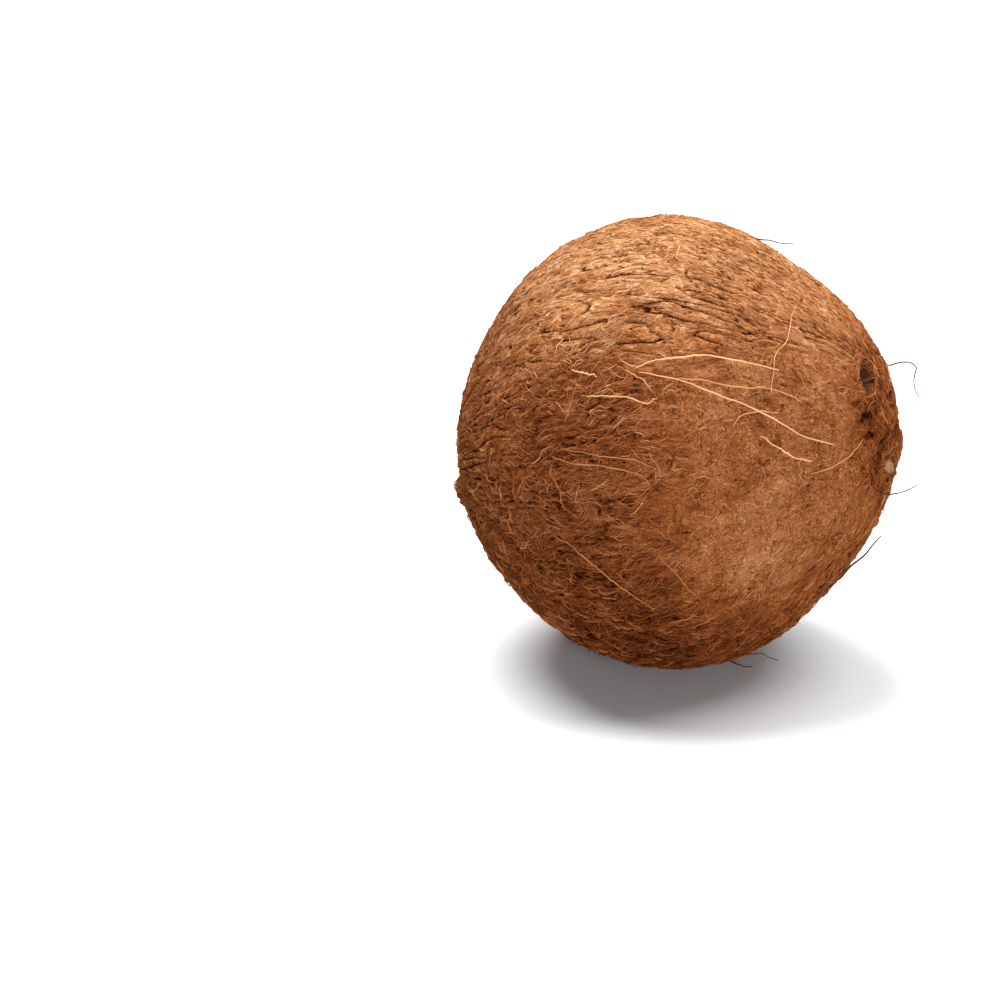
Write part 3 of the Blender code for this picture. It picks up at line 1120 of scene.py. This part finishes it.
def buildEyeRims(material):
    dice, perEye = np.random.RandomState(eyeRims["seed"]), eyeRims["perEye"]
    share, trails = np.linspace(0.0, 1.0, eyeRims["points"]), []
    for turn, halfWidth, shift, _ in nut["eyes"]:
        middle = directionAt(nut["eyePolar"], turn)
        toTip, around = towardsEyes(middle)
        arc = np.radians(dice.uniform(*eyeRims["arc"], perEye))
        angle = dice.uniform(0.0, 6.283, perEye)[:, None] + arc[:, None] * (share - 0.5)
        beyond = dice.uniform(*eyeRims["beyond"], perEye)[:, None]
        beyond = beyond + eyeRims["flare"] * np.abs(2.0 * share - 1.0) ** 3
        along = ((halfWidth + beyond) * np.cos(angle) - shift)[..., None]
        across = ((nut["eyeRadius"] + beyond) * np.sin(angle))[..., None]
        trails.append(unit(middle * nut["radius"] + along * toTip + across * around))
    trail = np.concatenate(trails)
    count = len(trail)
    lift = dice.uniform(*eyeRims["lift"], count)[:, None] * np.sin(math.pi * share)
    laid = layStrands(trail, lift - eyeRims["sink"], eyeRims["bridge"])
    shade = eyeRims["paleness"] + eyeRims["uneven"] * dice.normal(0.0, 1.0, count)
    thickness, taper = thicknessOf(dice, eyeRims, count), spindle(share, eyeRims["ends"])
    faded = np.full(count, eyeRims["faded"])
    strandPiece("eyeRims", material, laid, thickness, taper, eyeRims["sides"], shade, faded)
    print("eye rims:", count, "strands")


# The stage: a pale floor in a pale room, soft light from above and a little behind, and a fill.
stage = {
    "floorSize": 12.0, "floorSheen": {"Roughness": 0.9, "Specular IOR Level": 0.0},
    "floorSeen": (0.83, 0.84, 0.85, 1.0), "floorBounce": (0.40, 0.40, 0.40, 1.0),
    "roomSeen": 1.0, "roomLight": 0.13,
    "lights": {  # where from, how wide in degrees, how strong
        "softSky": ((-0.34, 0.24, 1.0), 40.0, 5.2),
        "softSide": ((0.40, 0.28, 1.0), 36.0, 2.5),
        "softFill": ((0.50, -0.85, 0.12), 32.0, 3.0),
    },
}


def seenOrLit(tree, seen, lit):
    # one shader for the camera's own view and another for the light that the surface gives
    nodes, links = tree.nodes, tree.links
    choose = nodes.new("ShaderNodeMixShader")
    rays = nodes.new("ShaderNodeLightPath")
    links.new(rays.outputs["Is Camera Ray"], choose.inputs[0])
    links.new(lit.outputs[0], choose.inputs[1])
    links.new(seen.outputs[0], choose.inputs[2])
    end = next(node for node in nodes if node.bl_idname.startswith("ShaderNodeOutput"))
    links.new(choose.outputs[0], end.inputs["Surface"])


def addLight(name, place, power, width):
    light = bpy.data.lights.new(name, "SUN")
    light.energy = power
    light.angle = math.radians(width)
    lamp = bpy.data.objects.new(name, light)
    lamp.location = place
    lamp.rotation_euler = Vector(place).to_track_quat("Z", "Y").to_euler()
    bpy.context.scene.collection.objects.link(lamp)


def buildStage():
    bpy.ops.mesh.primitive_plane_add(size=stage["floorSize"])
    floor = bpy.context.object
    floor.name = "floor"
    material, seen = newMaterial("paleFloor", *stage["floorSheen"].values())
    lit = material.node_tree.nodes.new("ShaderNodeBsdfPrincipled")
    setInputs(seen, {"Base Color": stage["floorSeen"]})
    setInputs(lit, {"Base Color": stage["floorBounce"], **stage["floorSheen"]})
    seenOrLit(material.node_tree, seen, lit)
    floor.data.materials.append(material)
    world = bpy.data.worlds.new("paleRoom")
    world.use_nodes = True
    seen = world.node_tree.nodes["Background"]
    lit = world.node_tree.nodes.new("ShaderNodeBackground")
    for node, strength in ((seen, stage["roomSeen"]), (lit, stage["roomLight"])):
        setInputs(node, {"Color": (1.0, 1.0, 1.0, 1.0), "Strength": strength})
    seenOrLit(world.node_tree, seen, lit)
    bpy.context.scene.world = world
    for name, (place, width, power) in stage["lights"].items():
        addLight(name, place, power, width)
    bpy.context.scene.view_settings.view_transform = "Standard"
    print("stage set")


# The camera looks past the nut's left side, so the nut stands right of the middle.
view = {
    "azimuth": 18.0, "elevation": 18.0, "distance": 0.664, "lens": 90.0,
    "left": 0.0469, "below": 0.0156,
}


def buildCamera():
    azimuth, elevation = math.radians(view["azimuth"]), math.radians(view["elevation"])
    flat = math.cos(elevation)
    back = Vector((math.sin(azimuth) * flat, -math.cos(azimuth) * flat, math.sin(elevation)))
    right = Vector((math.cos(azimuth), math.sin(azimuth), 0.0))
    up = back.cross(right)
    middle = (Vector(cadBox[0]) + Vector(cadBox[1])) / 2.0
    aim = middle - right * view["left"] - up * view["below"]
    camera = bpy.data.objects.new("camera", bpy.data.cameras.new("camera"))
    camera.data.lens = view["lens"]
    camera.location = aim + back * view["distance"]
    camera.rotation_euler = back.to_track_quat("Z", "Y").to_euler()
    bpy.context.scene.collection.objects.link(camera)
    bpy.context.scene.camera = camera


buildCamera()
buildStage()
buildSkin(skinMaterial())
coirStrand = strandMaterial("coirStrand", 0.85, 0.02, 0.10)
strawStrand = strandMaterial("strawStrand", 0.75, 0.06, 0.12)
buildFamily("combedCoir", combedCoir, combedRoots, coirStrand)
buildFamily("feltedCoir", feltedCoir, feltedRoots, coirStrand)
buildFamily("curledCoir", curledCoir, curledRoots, coirStrand)
buildFamily("wispyCoir", wispyCoir, wispyRoots, strawStrand)
buildFuzz(coirStrand)
buildLoose(strawStrand)
buildStray(strawStrand)
buildEyeRims(coirStrand)
